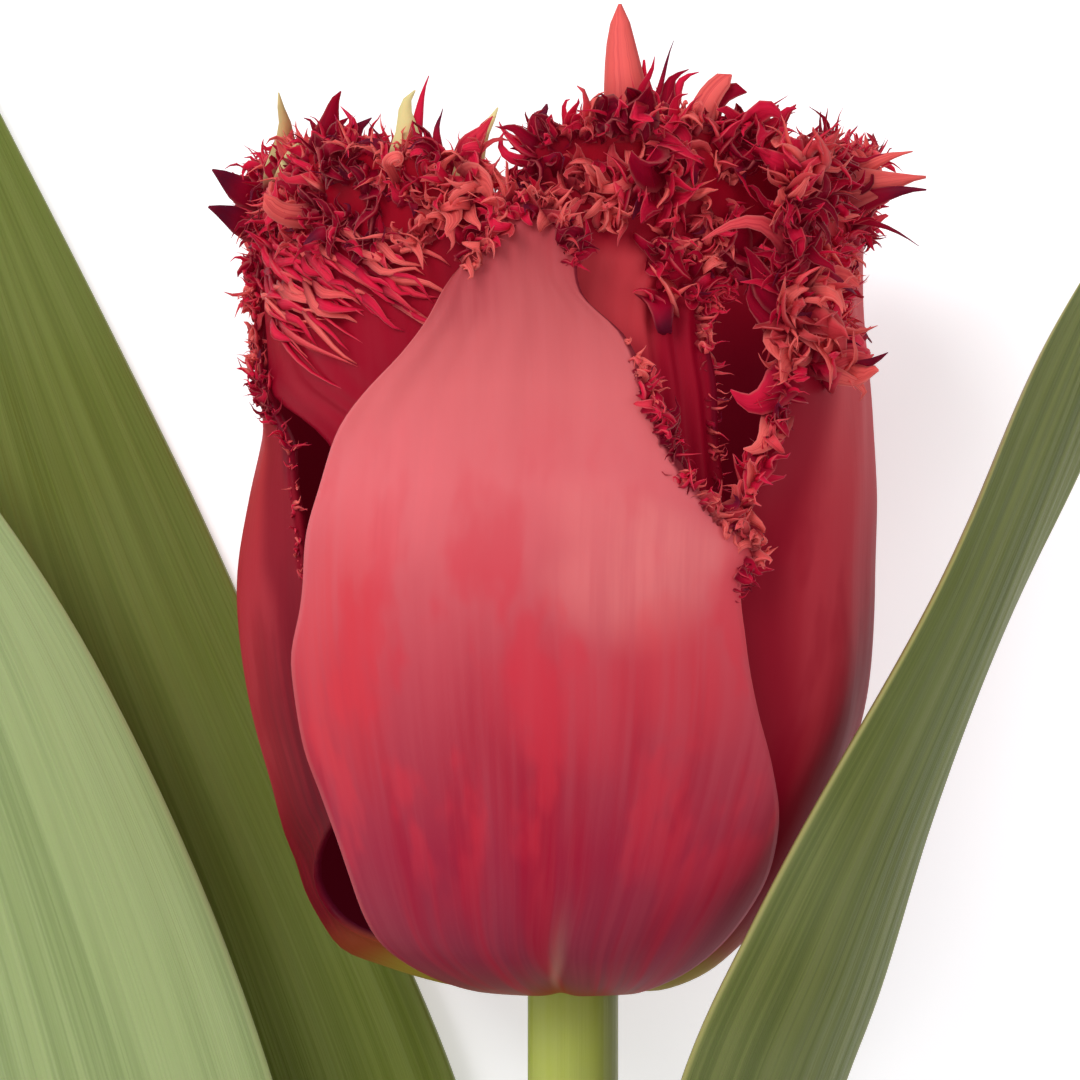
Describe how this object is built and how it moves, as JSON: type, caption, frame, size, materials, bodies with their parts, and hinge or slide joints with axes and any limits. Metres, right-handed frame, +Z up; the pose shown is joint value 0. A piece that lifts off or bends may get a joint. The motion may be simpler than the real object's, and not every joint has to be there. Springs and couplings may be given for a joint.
{
  "type": "fringed tulip",
  "caption": "Cut fringed tulip lying on a surface: a closed cup of petals with toothed edges on a long stem with clasping leaves.",
  "frame": {"origin": "the flat spot under the flower's belly, where the lowest petal rests on the table", "axes": "+Y from the stem's cut end towards the flower, +Z up from the table, +X to the right seen from above with the flower at the top"},
  "size_m": [0.1177, 0.3942, 0.0537],
  "materials": {
    "petal_outer": "satin, fine lengthwise streaks, purple at the root",
    "petal_inner": "satin, deep crimson with a coral fringe",
    "stem": "smooth, waxy, pale yellow-green",
    "leaf_right": "waxy, grey-green, lengthwise veins, pale edge",
    "leaf_left": "waxy, dark green, lengthwise veins",
    "leaf_low": "waxy, pale grey-green, lengthwise veins",
    "filament": "matte, pale green",
    "anther": "powdery, near black",
    "pistil": "satin, pale green"
  },
  "bodies": {
    "root": {"petal_outer_front": "petal_outer", "petal_outer_right": "petal_outer", "petal_outer_left": "petal_outer", "petal_inner_left": "petal_inner", "petal_inner_right": "petal_inner", "petal_inner_back": "petal_inner", "pistil": "pistil", "filament_1": "filament", "filament_2": "filament", "filament_3": "filament", "filament_4": "filament", "filament_5": "filament", "filament_6": "filament", "anther_1": "anther", "anther_2": "anther", "anther_3": "anther", "anther_4": "anther", "anther_5": "anther", "anther_6": "anther", "stem": "stem", "leaf_right": "leaf_right", "leaf_left": "leaf_left", "leaf_low": "leaf_low"}
  },
  "joints": []
}
